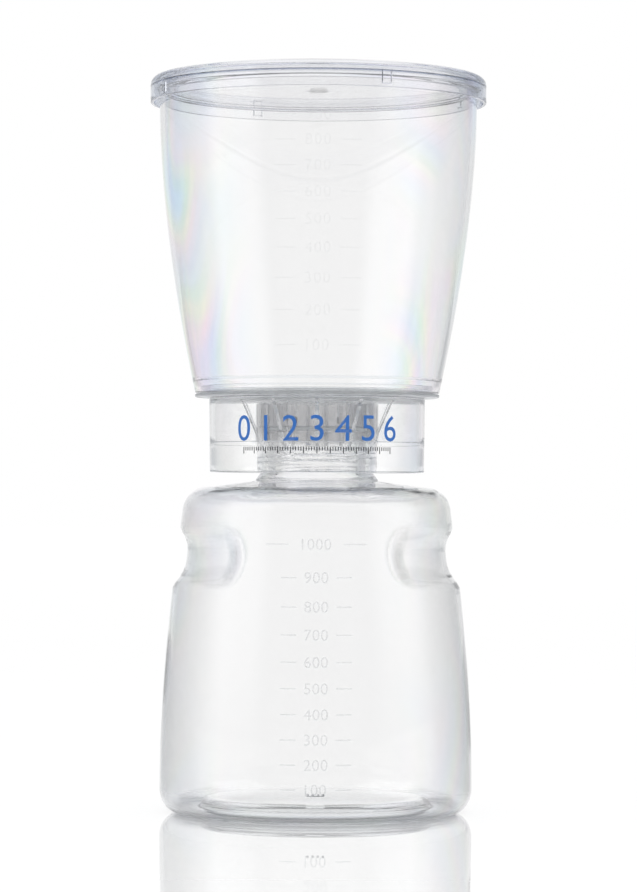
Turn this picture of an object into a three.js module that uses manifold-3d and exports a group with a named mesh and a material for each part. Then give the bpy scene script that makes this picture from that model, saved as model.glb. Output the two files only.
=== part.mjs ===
// Vacuum filtration unit: a lidded feeding cup on a screw collar, over a one-litre receiver bottle.
// Millimetres, +Z up, origin at the centre of the bottle's foot. The front is -Y and the side port
// points to +Y. Heights are stacked from the foot upwards, each piece seated on the one below.
import * as THREE from 'three';
import { mergeVertices } from 'three/addons/utils/BufferGeometryUtils.js';
import Module from 'manifold-3d';

const wasm = await Module();
wasm.setup();

// How finely round shapes are cut into facets
const turnSegments = 48;
const smallSegments = 20;       // fittings of the side port
const arcSteps = 5;

// Clearances
const seatGap = 0.3;          // between pieces that rest on or in each other
const threadClearance = 0.4;  // radial, crest to wall
const beadClearance = 0.3;    // under the collar, over the bottle's bead

// Receiver bottle
const bottleRadius = 59.9;
const bottleWall = 1.4;
const footOuterRadius = 52.4;
const footInnerRadius = 45;
const footCornerHeight = 9;
const puntHeight = 4.4;
const puntSlopeWidth = 2.4;
const taperStart = 12;        // height at which the straight side starts to lean in
const taperHeight = 103;
const taperDepth = 8.35;
const taperPower = 1.75;
const shoulderRise = 11.9;
const shoulderRun = 9.4;
const shoulderCrown = 2.4;    // how far the shoulder still climbs from its round edge to the bead
const gripDrop = 29.2;        // from the shoulder's top to the finger grips' centre line
const gripHalfHeight = 12;
const gripDepth = 4;
const gripHalfLength = 55.6;  // along the wall, round end included
const neckRadius = 18.85;
const neckWall = 2.35;
const neckHeight = 19.1;
const beadRadius = 23.5;
const beadHeight = 3;
const beadConeRise = 2.5;
const beadConeRun = 1.8;      // how far the bead narrows towards its top

// Screw thread, right hand, shared by neck and collar
const threadPitch = 4.2;
const threadTurns = 1.5;
const threadDepth = 1.45;
const threadRootWidth = 2.2;
const threadCrestWidth = 1.4;
const threadAboveBead = 4.6;
const threadFade = Math.PI / 5;
const threadRootSink = 0.6;
const threadStepsPerTurn = 24;

// Neck gasket
const gasketThickness = 1.2;
const gasketWidth = 2.6;

// Collar
const skirtTopRadius = 41.5;
const skirtDraft = 0.3;
const skirtWall = 1.4;
const skirtUpperExtra = 0.5;  // the skirt is thicker above its inner step
const skirtStepDrop = 17.3;
const collarRingWall = 2.4;
const seatInnerRadius = 15.5;
const vacuumRoom = 11.1;      // from the gasket seat to the drain plate
const flangeThickness = 1.3;
const flangeRound = 1.1;
const landHeight = 1.4;
const landWidth = 2.6;
const drainDepth = 1.1;
const drainFall = 0.5;
const drainRibRelief = 0.1;   // the ribs end this far under the membrane
const drainRibCount = 24;
const drainRibWidth = 1;
const drainRibStart = 9;
const spoutBore = 3;
const spoutWall = 1.4;
const spoutDip = 6;           // how far the spout reaches below the neck's lip
const gussetCount = 12;
const gussetThickness = 1.5;
const gussetReach = 10.1;
const gussetDrop = 21;

// Side port
const portRise = 3.7;         // from the gasket seat to the port's axis
const portRadius = 4.8;
const portBore = 2.2;
const portSocketRadius = 2.9;
const portSocketDepth = 9;
const portStandOut = 2.5;     // from the skirt to the boss's end
const plugLength = 7;
const nippleBore = 1.7;
const nippleFlangeRadius = 5.6;
const nippleFlangeThickness = 1.8;
const nippleBarbCount = 3;
const nippleBarbLength = 2.8;
const nippleBarbGap = 1.8;
const nippleBarbRadius = 4.3;
const nippleStemWall = 1.3;
const nippleTipLength = 2;

// Membrane and its clamp ring
const membraneThickness = 0.25;
const membraneInset = 0.6;
const clampRingHeight = 1.6;
const clampRingWidth = 2.9;
const clampRingChamfer = 0.5;

// Feeding cup
const cupHeight = 119.5;
const cupRimRadius = 61;
const cupFootRadius = 46.9;
const cupStraightRim = 10;    // height of the straight stretch under the rim
const cupFlarePower = 1.7;
const cupWall = 1.8;
const rimBeadWidth = 1.2;     // how far the rolled rim stands out of the wall
const rimBeadHeight = 3.4;
const rimBeadRound = 0.6;
const rimBeadSlope = 1.1;     // run-out of the bead into the wall under it
const rimLeadIn = 0.5;        // chamfer inside the rim

// Lid
const lidWall = 1.3;
const lidTopWall = 1.7;
const lidSkirtDrop = 8;       // from the rim's top to the skirt's lower edge
const lidEdgeRun = 3.1;
const lidEdgeRise = 3.2;
const lidRecess = 4;
const lidRecessDraft = 2;
const lidDiscThickness = 1.5;
const lidGateRadius = 3.5;
const lidGateHeight = 1.8;
const lidRibCount = 4;
const lidRibDepth = 0.8;
const lidRibWidth = 3.7;
const lidRibHeight = 4.8;
const lidRibDrop = 1.7;       // from the cup's rim to the ribs' upper ends
const lidRibStart = THREE.MathUtils.degToRad(23.4);

// Worked-out heights, from the foot up
const shoulderStart = taperStart + taperHeight;
const shoulderTop = shoulderStart + shoulderRise;
const gripRise = shoulderTop - gripDrop;
const neckTop = shoulderTop + neckHeight;
const beadTop = shoulderTop + beadHeight;
const threadStart = beadTop + threadAboveBead;
const gasketBottom = neckTop + seatGap;
const gasketSeat = gasketBottom + gasketThickness + seatGap;
const collarBottom = beadTop + beadClearance;
const plateBottom = gasketSeat + vacuumRoom;
const flangeTop = plateBottom + flangeThickness;
const landTop = flangeTop + landHeight;
const membraneTop = landTop + membraneThickness;
const cupBottom = flangeTop + seatGap;
const cupTop = cupBottom + cupHeight;
const lidCeiling = cupTop + seatGap;
const lidTop = lidCeiling + lidTopWall;
const portHeight = gasketSeat + portRise;

// Worked-out radii
const neckBore = neckRadius - neckWall;
const threadCrest = neckRadius + threadDepth;
const ringBore = threadCrest + threadClearance;
const ringRadius = ringBore + collarRingWall;
const spoutRadius = spoutBore + spoutWall;
const skirtBottomRadius = skirtTopRadius - skirtDraft;
const portLength = skirtTopRadius + portStandOut;
const cupFootInner = cupFootRadius - cupWall;
const landRadius = cupFootInner - seatGap;
const drainRadius = landRadius - landWidth;
const cupRimInner = cupRimRadius - cupWall;
const rimBeadRadius = cupRimRadius + rimBeadWidth;
const lidPlugRadius = cupRimInner - seatGap;
const lidSkirtBore = rimBeadRadius + seatGap + lidRibDepth;
const lidRadius = lidSkirtBore + lidWall;

// ---------------------------------------------------------------- shape helpers

// Points of an arc in a profile, from angle a to angle b (degrees, 0 = outwards, 90 = up)
function arc(centreR, centreZ, radiusR, radiusZ, a, b, steps = arcSteps) {
  return Array.from({ length: steps + 1 }, (_, i) => {
    const angle = THREE.MathUtils.degToRad(a + (b - a) * i / steps);
    return [centreR + radiusR * Math.cos(angle), centreZ + radiusZ * Math.sin(angle)];
  });
}

// Evenly spaced heights from a to b, both ends included
function heights(a, b, steps) {
  return Array.from({ length: steps + 1 }, (_, i) => a + (b - a) * i / steps);
}

// A profile of [radius, height] pairs turned about +Z. It runs up on the outside and down on the
// inside, and closes on itself or starts and ends on the axis.
function turned(profile, segments = turnSegments) {
  const points = profile.map(([r, z]) => new THREE.Vector2(r, z));
  if (profile[0][0] > 0) points.push(points[0].clone());
  return new THREE.LatheGeometry(points, segments).rotateX(Math.PI / 2);
}

// A geometry's triangles on shared corners, with the slivers at the axis left out
function sharedCorners(geometry) {
  const bare = geometry.clone();
  bare.deleteAttribute('normal');
  bare.deleteAttribute('uv');
  const merged = mergeVertices(bare, 1e-4);
  const index = Array.from(merged.index.array);
  const kept = [];
  for (let i = 0; i < index.length; i += 3) {
    const [a, b, c] = index.slice(i, i + 3);
    if (a !== b && b !== c && c !== a) kept.push(a, b, c);
  }
  merged.setIndex(kept);
  return merged;
}

function solid(geometry) {
  const shared = sharedCorners(geometry);
  return new wasm.Manifold(new wasm.Mesh({
    numProp: 3,
    vertProperties: new Float32Array(shared.attributes.position.array),
    triVerts: new Uint32Array(shared.index.array),
  }));
}

function geometryOf(manifold) {
  const mesh = manifold.getMesh();
  const geometry = new THREE.BufferGeometry();
  geometry.setAttribute('position', new THREE.BufferAttribute(mesh.vertProperties, 3));
  geometry.setIndex(new THREE.BufferAttribute(mesh.triVerts, 1));
  geometry.computeVertexNormals();
  return geometry;
}

// A screw thread as one closed ridge. sign +1 stands out of a shaft of radius wallRadius, and
// -1 stands into a bore. The ridge's depth fades in and out at its ends, as a moulded thread's does.
function threadRidge(wallRadius, sign, startHeight) {
  const steps = Math.round(threadTurns * threadStepsPerTurn);
  const length = threadTurns * 2 * Math.PI;
  const positions = [];
  for (let i = 0; i <= steps; i++) {
    const angle = length * i / steps;
    const ends = Math.min(angle, length - angle) / threadFade;
    const depth = threadDepth * THREE.MathUtils.smoothstep(ends, 0, 1);
    const rootRadius = wallRadius - sign * threadRootSink;
    const crestRadius = wallRadius + sign * depth;
    const middle = startHeight + threadPitch * angle / (2 * Math.PI);
    const corners = [
      [rootRadius, -threadRootWidth / 2],
      [crestRadius, -threadCrestWidth / 2],
      [crestRadius, threadCrestWidth / 2],
      [rootRadius, threadRootWidth / 2],
    ];
    for (const [r, z] of corners) {
      positions.push(r * Math.cos(angle), r * Math.sin(angle), middle + z);
    }
  }
  const faces = [];
  const quad = (a, b, c, d) => faces.push(...(sign > 0 ? [a, b, c, a, c, d] : [a, c, b, a, d, c]));
  for (let i = 0; i < steps; i++) {
    for (let k = 0; k < 4; k++) {
      const a = 4 * i + k;
      const b = 4 * i + (k + 1) % 4;
      quad(a, a + 4, b + 4, b);
    }
  }
  quad(0, 1, 2, 3);
  const last = 4 * steps;
  quad(last, last + 3, last + 2, last + 1);
  const geometry = new THREE.BufferGeometry();
  geometry.setAttribute('position', new THREE.Float32BufferAttribute(positions, 3));
  geometry.setIndex(faces);
  return geometry;
}

// A round bar or bore along +Y at the side port's height
function portRod(radius, fromY, toY) {
  return new THREE.CylinderGeometry(radius, radius, toY - fromY, smallSegments)
    .translate(0, (fromY + toY) / 2, portHeight);
}

// ---------------------------------------------------------------- receiver bottle

// Outer radius of the bottle's side: straight, then leaning in by a power curve
function bottleSide(height) {
  const rise = Math.max(0, height - taperStart) / taperHeight;
  return bottleRadius - taperDepth * rise ** taperPower;
}

// How far a finger grip pushes the wall in: a race-track dent round each of the two sides
function gripDent(angle, height) {
  const fromSide = Math.acos(Math.min(1, Math.abs(Math.cos(angle))));
  const endCentre = gripHalfLength - gripHalfHeight;
  const along = Math.max(0, fromSide * bottleSide(gripRise) - endCentre);
  const reach = Math.hypot(along, height - gripRise) / gripHalfHeight;
  return reach < 1 ? gripDepth * (1 - reach ** 3) ** 2 : 0;
}

function pressGrips(geometry) {
  const position = geometry.attributes.position;
  for (let i = 0; i < position.count; i++) {
    const [x, y, z] = [position.getX(i), position.getY(i), position.getZ(i)];
    const radius = Math.hypot(x, y);
    if (radius < footInnerRadius) continue;
    const scale = 1 - gripDent(Math.atan2(y, x), z) / radius;
    position.setXY(i, x * scale, y * scale);
  }
  return geometry;
}

function bottleBody() {
  const shoulderRadius = bottleSide(shoulderStart) - shoulderRun;
  const cornerRun = bottleRadius - footOuterRadius;
  const gripLow = gripRise - gripHalfHeight;
  const gripHigh = gripRise + gripHalfHeight;
  const sideHeights = [
    ...heights(taperStart, gripLow, 4),
    ...heights(gripLow, gripHigh, 6).slice(1),
  ];
  const innerFoot = puntHeight + bottleWall;
  const outside = [
    [footInnerRadius, 0],
    ...arc(footOuterRadius, footCornerHeight, cornerRun, footCornerHeight, -90, 0),
    ...sideHeights.map((z) => [bottleSide(z), z]),
    ...arc(shoulderRadius, shoulderStart, shoulderRun, shoulderRise - shoulderCrown, 0, 90),
    [beadRadius, shoulderTop],
    [beadRadius, beadTop - beadConeRise],
    [beadRadius - beadConeRun, beadTop],
    [neckRadius, beadTop],
    [neckRadius, neckTop],
  ];
  const inside = [
    [neckBore, neckTop],
    [neckBore, shoulderTop - bottleWall],
    ...arc(shoulderRadius, shoulderStart, shoulderRun - bottleWall,
      shoulderRise - shoulderCrown - bottleWall, 90, 0, 3),
    ...sideHeights.reverse().map((z) => [bottleSide(z) - bottleWall, z]),
    ...arc(footOuterRadius, footCornerHeight, cornerRun - bottleWall,
      footCornerHeight - bottleWall, 0, -90, 3),
    [footInnerRadius, bottleWall],
    [footInnerRadius - puntSlopeWidth, innerFoot],
    [0, innerFoot],
  ];
  const punt = [
    [0, puntHeight],
    [footInnerRadius - puntSlopeWidth, puntHeight],
  ];
  return pressGrips(turned([...punt, ...outside, ...inside]));
}

function receiverBottle() {
  return geometryOf(solid(bottleBody()).add(solid(threadRidge(neckRadius, 1, threadStart))));
}

function neckGasket() {
  return turned([
    [neckBore, gasketBottom],
    [neckBore + gasketWidth, gasketBottom],
    [neckBore + gasketWidth, gasketBottom + gasketThickness],
    [neckBore, gasketBottom + gasketThickness],
  ]);
}

// ---------------------------------------------------------------- collar

// Plate, skirt, threaded ring, gasket seat and drip spout, as one turned moulding
function collarBody() {
  const stepHeight = plateBottom - skirtStepDrop;
  const spoutTip = neckTop - spoutDip;
  return turned([
    [spoutBore, spoutTip],
    [spoutRadius, spoutTip],
    [spoutRadius, plateBottom],
    [seatInnerRadius, plateBottom],
    [seatInnerRadius, gasketSeat],
    [ringBore, gasketSeat],
    [ringBore, collarBottom],
    [ringRadius, collarBottom],
    [ringRadius, plateBottom],
    [skirtTopRadius - skirtWall - skirtUpperExtra, plateBottom],
    [skirtTopRadius - skirtWall - skirtUpperExtra, stepHeight],
    [skirtTopRadius - skirtWall, stepHeight],
    [skirtBottomRadius - skirtWall, collarBottom],
    [skirtBottomRadius, collarBottom],
    [skirtTopRadius, plateBottom],
    ...arc(cupFootRadius - flangeRound, plateBottom + flangeRound, flangeRound, flangeRound,
      -90, 0, 3),
    [cupFootRadius, flangeTop],
    [landRadius, flangeTop],
    [landRadius, landTop],
    [drainRadius, landTop],
    [drainRadius, landTop - drainDepth],
    [spoutBore, landTop - drainDepth - drainFall],
  ]);
}

// One rib of the drain plate's top, along +X before it is turned to its place
function drainRib(innerRadius) {
  const length = drainRadius + landWidth / 2 - innerRadius;
  const top = landTop - drainRibRelief;
  const depth = drainDepth + drainFall;
  return new THREE.BoxGeometry(length, drainRibWidth, depth)
    .translate(innerRadius + length / 2, 0, top - depth / 2);
}

// A triangular gusset between the threaded ring and the plate
function gusset() {
  const rootSink = collarRingWall / 2;
  const plateSink = flangeThickness / 2;
  const outline = new THREE.Shape([
    new THREE.Vector2(ringRadius - rootSink, plateBottom - gussetDrop),
    new THREE.Vector2(ringRadius, plateBottom - gussetDrop),
    new THREE.Vector2(ringRadius + gussetReach, plateBottom),
    new THREE.Vector2(ringRadius + gussetReach, plateBottom + plateSink),
    new THREE.Vector2(ringRadius - rootSink, plateBottom + plateSink),
  ]);
  return new THREE.ExtrudeGeometry(outline, { depth: gussetThickness, bevelEnabled: false })
    .translate(0, 0, -gussetThickness / 2)
    .rotateX(Math.PI / 2);
}

function addAround(body, count, start, makeGeometry) {
  let result = body;
  for (let i = 0; i < count; i++) {
    result = result.add(solid(makeGeometry(i).rotateZ(start + 2 * Math.PI * i / count)));
  }
  return result;
}

function collar() {
  let body = solid(collarBody());
  body = body.add(solid(threadRidge(ringBore, -1, threadStart - threadPitch / 2)));
  body = addAround(body, drainRibCount, 0, (i) => drainRib(drainRibStart * (1 + i % 2)));
  body = addAround(body, gussetCount, 0, gusset);
  body = body.add(solid(portRod(portRadius, ringRadius - collarRingWall / 2, portLength)));
  body = body.subtract(solid(portRod(portBore, (spoutRadius + seatInnerRadius) / 2,
    portLength - portSocketDepth / 2)));
  body = body.subtract(solid(portRod(portSocketRadius, portLength - portSocketDepth,
    portLength + seatGap)));
  return geometryOf(body);
}

// ---------------------------------------------------------------- side port fittings

// A round piece turned about its own +Z, laid along +Y at the side port, its foot at fromY
function laidInPort(profile, fromY) {
  return turned(profile, smallSegments).rotateX(-Math.PI / 2).translate(0, fromY, portHeight);
}

function portPlug() {
  const radius = portBore - seatGap / 2;
  return laidInPort([[0, 0], [radius, 0], [radius, plugLength], [0, plugLength]],
    portLength - portSocketDepth - seatGap - plugLength);
}

// Stem, stop flange and a row of tubing barbs, each a cone that narrows towards the tip
function hoseNipple() {
  const socketRadius = portSocketRadius - seatGap / 2;
  const stemRadius = nippleBore + nippleStemWall;
  const flangeFoot = portSocketDepth;
  const barbFoot = flangeFoot + nippleFlangeThickness;
  const barbs = [];
  for (let i = 0; i < nippleBarbCount; i++) {
    const foot = barbFoot + nippleBarbGap + i * (nippleBarbLength + nippleBarbGap);
    barbs.push([stemRadius, foot], [nippleBarbRadius, foot]);
    barbs.push([stemRadius, foot + nippleBarbLength]);
  }
  const tip = barbFoot + nippleBarbCount * (nippleBarbLength + nippleBarbGap) + nippleTipLength;
  return laidInPort([
    [nippleBore, seatGap],
    [socketRadius, seatGap],
    [socketRadius, flangeFoot + seatGap],
    [nippleFlangeRadius, flangeFoot + seatGap],
    [nippleFlangeRadius, barbFoot],
    [stemRadius, barbFoot],
    ...barbs,
    [stemRadius, tip],
    [nippleBore, tip],
  ], portLength - portSocketDepth);
}

// ---------------------------------------------------------------- membrane

function membrane() {
  const radius = landRadius - membraneInset;
  return turned([[0, landTop], [radius, landTop], [radius, membraneTop], [0, membraneTop]]);
}

function membraneRing() {
  const top = membraneTop + clampRingHeight;
  return turned([
    [landRadius - clampRingWidth, membraneTop],
    [landRadius, membraneTop],
    [landRadius, top - clampRingChamfer],
    [landRadius - clampRingChamfer, top],
    [landRadius - clampRingWidth, top],
  ]);
}

// ---------------------------------------------------------------- feeding cup

// Outer radius of the cup's wall: a power curve from the foot to the straight rim
function cupSide(height) {
  const flareTop = cupTop - cupStraightRim;
  const fall = Math.max(0, flareTop - height) / (flareTop - cupBottom);
  return cupRimRadius - (cupRimRadius - cupFootRadius) * fall ** cupFlarePower;
}

function feedCup() {
  const rimNeck = cupTop - rimBeadHeight;
  const levels = heights(cupBottom, cupTop - cupStraightRim, 9);
  return turned([
    ...levels.map((z) => [cupSide(z), z]),
    [cupRimRadius, rimNeck - rimBeadSlope],
    [rimBeadRadius, rimNeck],
    [rimBeadRadius, cupTop - rimBeadRound],
    [rimBeadRadius - rimBeadRound, cupTop],
    [cupRimInner + rimLeadIn, cupTop],
    [cupRimInner, cupTop - rimLeadIn],
    ...levels.reverse().map((z) => [cupSide(z) - cupWall, z]),
  ]);
}

// ---------------------------------------------------------------- lid

// Sunk disc, rim channel and skirt as one turned moulding
function lidBody() {
  const skirtBottom = cupTop - lidSkirtDrop;
  const discTop = lidTop - lidRecess;
  const discBottom = discTop - lidDiscThickness;
  const plugInner = lidPlugRadius - lidWall;
  return turned([
    [0, discBottom],
    [plugInner, discBottom],
    [lidPlugRadius, discBottom + lidWall],
    [lidPlugRadius, lidCeiling],
    [lidSkirtBore, lidCeiling],
    [lidSkirtBore, skirtBottom],
    [lidRadius, skirtBottom],
    ...arc(lidRadius - lidEdgeRun, lidTop - lidEdgeRise, lidEdgeRun, lidEdgeRise, 0, 90, 4),
    [plugInner, lidTop],
    [plugInner - lidRecessDraft, discTop],
    [lidGateRadius, discTop],
    [lidGateRadius, discTop + lidGateHeight],
    [0, discTop + lidGateHeight],
  ]);
}

// A rib inside the skirt that centres the lid on the cup's rolled rim
function lidRib() {
  const depth = lidRibDepth + lidWall / 2;
  return new THREE.BoxGeometry(depth, lidRibWidth, lidRibHeight)
    .translate(lidSkirtBore - lidRibDepth + depth / 2, 0, cupTop - lidRibDrop - lidRibHeight / 2);
}

function lid() {
  return geometryOf(addAround(solid(lidBody()), lidRibCount, lidRibStart, lidRib));
}

// ---------------------------------------------------------------- assembly

const clearPlastic = { color: 0xeef2f5, roughness: 0.06, metalness: 0, transparent: true };

const materials = {
  bottle: new THREE.MeshStandardMaterial({ ...clearPlastic, opacity: 0.3 }),
  moulding: new THREE.MeshStandardMaterial({ ...clearPlastic, opacity: 0.4 }),
  gasket: new THREE.MeshStandardMaterial({ color: 0xe6e6e2, roughness: 0.6, metalness: 0 }),
  membrane: new THREE.MeshStandardMaterial({ color: 0xf4f4f2, roughness: 0.9, metalness: 0 }),
  fibre: new THREE.MeshStandardMaterial({ color: 0xf2f1ec, roughness: 1, metalness: 0 }),
};

function piece(name, geometry, material) {
  const mesh = new THREE.Mesh(geometry, material);
  mesh.name = name;
  return mesh;
}

const unit = new THREE.Group();
unit.add(
  piece('receiver_bottle', receiverBottle(), materials.bottle),
  piece('neck_gasket', neckGasket(), materials.gasket),
  piece('collar', collar(), materials.moulding),
  piece('port_plug', portPlug(), materials.fibre),
  piece('hose_nipple', hoseNipple(), materials.moulding),
  piece('membrane', membrane(), materials.membrane),
  piece('membrane_ring', membraneRing(), materials.moulding),
  piece('feed_cup', feedCup(), materials.moulding),
  piece('lid', lid(), materials.moulding),
);

export default unit;
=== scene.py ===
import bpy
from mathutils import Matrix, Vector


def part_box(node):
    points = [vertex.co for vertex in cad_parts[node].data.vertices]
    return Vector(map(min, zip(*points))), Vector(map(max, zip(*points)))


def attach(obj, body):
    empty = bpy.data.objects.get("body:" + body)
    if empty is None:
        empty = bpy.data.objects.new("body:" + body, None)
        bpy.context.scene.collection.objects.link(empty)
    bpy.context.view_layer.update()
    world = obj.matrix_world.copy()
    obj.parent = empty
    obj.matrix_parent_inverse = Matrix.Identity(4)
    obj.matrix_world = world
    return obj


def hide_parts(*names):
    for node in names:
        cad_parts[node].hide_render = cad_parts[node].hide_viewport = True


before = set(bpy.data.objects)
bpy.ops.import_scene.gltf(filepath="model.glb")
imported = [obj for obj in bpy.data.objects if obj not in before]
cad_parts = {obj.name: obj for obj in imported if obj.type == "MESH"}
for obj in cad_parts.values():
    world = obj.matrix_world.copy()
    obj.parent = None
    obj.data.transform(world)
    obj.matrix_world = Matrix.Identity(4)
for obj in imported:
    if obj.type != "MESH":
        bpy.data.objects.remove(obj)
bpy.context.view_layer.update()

import math
import bpy
import bmesh
import numpy as np
from mathutils import Matrix, Vector

mm = 0.001


# One closed path of [radius, height] corners, each with its own fillet (radius, height, fillet).
# A fillet is a true arc: its centre stands on the corner's bisector, fillet / sin(half angle) away.
def filletPath(corners, arcSteps=6):
    path = []
    count = len(corners)
    for i, (r, z, fillet) in enumerate(corners):
        corner = np.array([r, z])
        if fillet <= 0:
            path.append(corner[None])
            continue
        back = np.array(corners[i - 1][:2]) - corner
        ahead = np.array(corners[(i + 1) % count][:2]) - corner
        back, backLength = back / np.hypot(*back), np.hypot(*back)
        ahead, aheadLength = ahead / np.hypot(*ahead), np.hypot(*ahead)
        half = math.acos(np.clip(back @ ahead, -1, 1)) / 2
        if half > 1.55:  # the path hardly turns here, so there is nothing to round
            path.append(corner[None])
            continue
        run = min(fillet / math.tan(half), 0.48 * backLength, 0.48 * aheadLength)  # leaves its neighbour room
        radius = run * math.tan(half)
        centre = corner + (back + ahead) / np.hypot(*(back + ahead)) * radius / math.sin(half)
        start, end = corner + back * run - centre, corner + ahead * run - centre
        angle = math.atan2(start[0] * end[1] - start[1] * end[0], start @ end)
        turn = angle * np.linspace(0, 1, arcSteps + 1)[:, None]
        path.append(centre + start * np.cos(turn) + np.array([-start[1], start[0]]) * np.sin(turn))
    return np.vstack(path)


# The same path with extra points, so that no step is longer than the given one
def refined(path, step):
    ahead = np.vstack([path[1:], path[:1]])
    parts = np.maximum(1, np.ceil(np.hypot(*(ahead - path).T) / step)).astype(int)
    pieces = [a + (b - a) * (np.arange(n) / n)[:, None] for a, b, n in zip(path, ahead, parts)]
    return np.vstack(pieces)


# The same path with its upright wall at one radius drawn anew, as evenly spaced rows
def finerWall(path, radius, rows, near=0.01):
    onWall = np.flatnonzero(np.abs(path[:, 0] - radius) < near)
    low, high = onWall[0], onWall[-1]
    levels = np.linspace(path[low, 1], path[high, 1], rows)
    wall = np.column_stack([np.full_like(levels, radius), levels])
    return np.vstack([path[:low], wall, path[high + 1:]])


# Height against radius of an ellipse: (centre + radius cos(angle), centre + height sin(angle))
def ellipseArc(centreR, centreZ, radiusR, radiusZ, fromDeg, toDeg, steps):
    angle = np.radians(np.linspace(fromDeg, toDeg, steps + 1))
    return np.column_stack([centreR + radiusR * np.cos(angle), centreZ + radiusZ * np.sin(angle)])


def plain(path):  # corners with no fillet
    return [(r, z, 0) for r, z in path]


# A step from 0 to 1 with level ends, as 3 s^2 - 2 s^3
def eased(share):
    return share * share * (3 - 2 * share)


# A path of [radius, height] turned about +Z: x = r cos(a), y = r sin(a), with r = path radius plus
# shift(a, z, r). A path that touches the axis ends there in a pole. A crowd of (count, start, share)
# draws the columns together at that many places: a = t - share sin(count (t - start)) / count.
def turnedGrid(path, around, shift=None, crowd=None):
    angle = np.linspace(0, 2 * np.pi, around, endpoint=False)
    if crowd is not None:
        count, startDeg, share = crowd
        angle = angle - share * np.sin(count * (angle - math.radians(startDeg))) / count
    r, z = np.broadcast_arrays(path[:, :1], path[:, 1:])
    r = np.repeat(r, around, axis=1)
    z = np.repeat(z, around, axis=1)
    a = np.broadcast_to(angle, r.shape)
    if shift is not None:
        r = r + shift(a, z, r)
    return np.stack([r * np.cos(a), r * np.sin(a), z], axis=-1)


# A grid of points as a mesh: columns closed round, rows joined in order and, if asked, closed too
def meshFromGrid(name, grid, closeRows):
    rows, around = grid.shape[:2]
    row, column = np.meshgrid(np.arange(rows if closeRows else rows - 1), np.arange(around), indexing="ij")
    below, right = (row + 1) % rows, (column + 1) % around
    quads = np.stack([row * around + column, row * around + right, below * around + right,
                      below * around + column], axis=-1).reshape(-1, 4)
    mesh = bpy.data.meshes.new(name)
    mesh.from_pydata((grid.reshape(-1, 3) * mm).tolist(), [], quads.tolist())
    return mesh


def cleaned(mesh, mergeDistance=2e-6):
    work = bmesh.new()
    work.from_mesh(mesh)
    bmesh.ops.remove_doubles(work, verts=work.verts, dist=mergeDistance)
    bmesh.ops.dissolve_degenerate(work, edges=work.edges, dist=mergeDistance / 2)
    bmesh.ops.recalc_face_normals(work, faces=work.faces)
    work.to_mesh(mesh)
    work.free()
    return mesh


def turnedMesh(name, path, around, shift=None, crowd=None):
    onAxis = path[:, 0] < 1e-6
    if onAxis.any():  # start and end on the axis, with the axis itself left out
        path = np.roll(path, -(np.flatnonzero(onAxis)[-1]), axis=0)
    grid = turnedGrid(path, around, shift, crowd)
    return cleaned(meshFromGrid(name, grid, closeRows=not onAxis.any()))


def pieceFrom(name, mesh, material, body, replaced=(), smoothDeg=32):
    obj = bpy.data.objects.new(name, mesh)
    bpy.context.scene.collection.objects.link(obj)
    mesh.materials.clear()
    mesh.materials.append(material)
    mesh.polygons.foreach_set("use_smooth", np.ones(len(mesh.polygons), bool))
    mesh.set_sharp_from_angle(angle=math.radians(smoothDeg))
    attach(obj, body)
    if replaced:
        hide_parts(*replaced)
    return obj


def pointsOf(mesh):
    flat = np.empty(len(mesh.vertices) * 3)
    mesh.vertices.foreach_get("co", flat)
    return flat.reshape(-1, 3)


def movedTo(mesh, points):
    mesh.vertices.foreach_set("co", points.ravel())
    mesh.update()
    return mesh


def evaluatedMesh(obj):
    bpy.context.view_layer.update()
    return bpy.data.meshes.new_from_object(obj.evaluated_get(bpy.context.evaluated_depsgraph_get()))


# A closed plate or rod between two rings of as many points, each ring being one end face
def plateBetween(name, first, second):
    count = len(first)
    ring = np.arange(count)
    after = (ring + 1) % count
    walls = np.stack([ring, after, after + count, ring + count], axis=-1)
    mesh = bpy.data.meshes.new(name)
    mesh.from_pydata(np.vstack([first, second]).tolist(), [],
                     walls.tolist() + [ring[::-1].tolist(), (ring + count).tolist()])
    return mesh


def joined(name, meshes):
    work = bmesh.new()
    for mesh in meshes:
        work.from_mesh(mesh)
    out = bpy.data.meshes.new(name)
    work.to_mesh(out)
    work.free()
    return out


def linear(hexColour, alpha=1.0):
    srgb = np.array([int(hexColour[i:i + 2], 16) for i in (1, 3, 5)]) / 255
    value = np.where(srgb <= 0.04045, srgb / 12.92, ((srgb + 0.055) / 1.055) ** 2.4)
    return (*value.tolist(), alpha)


def addNode(tree, kind, settings=None, links=None, values=None):
    node = tree.nodes.new(kind)
    for key, value in (settings or {}).items():
        setattr(node, key, value)
    for socket, value in (values or {}).items():
        node.inputs[socket].default_value = value
    for socket, source in (links or {}).items():
        tree.links.new(source, node.inputs[socket])
    return node


def newMaterial(name):
    material = bpy.data.materials.new(name)
    material.use_nodes = True
    material.node_tree.nodes.clear()
    return material, material.node_tree


multiply, smoothly = {"operation": "MULTIPLY"}, {"interpolation_type": "SMOOTHSTEP"}
upward, outward = (0, 0, 1), (1, 1, 0)


# Where a piece changes its look: a product of smooth steps, each 0 at one distance and 1 at the
# other, in millimetres, along the height (upward) or the radius (outward)
def zoneShare(tree, coords, spans):
    share = None
    for scale, fromMm, toMm in spans:
        scaled = addNode(tree, "ShaderNodeMapping", links={"Vector": coords.outputs["Object"]},
                         values={"Scale": scale})
        reach = addNode(tree, "ShaderNodeVectorMath", {"operation": "LENGTH"},
                        links={0: scaled.outputs["Vector"]})
        step = addNode(tree, "ShaderNodeMapRange", smoothly,
                       links={"Value": reach.outputs["Value"]},
                       values={"From Min": fromMm * mm, "From Max": toMm * mm}).outputs["Result"]
        share = step if share is None else addNode(tree, "ShaderNodeMath", multiply, links={
            0: share, 1: step}).outputs["Value"]
    return share


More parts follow.
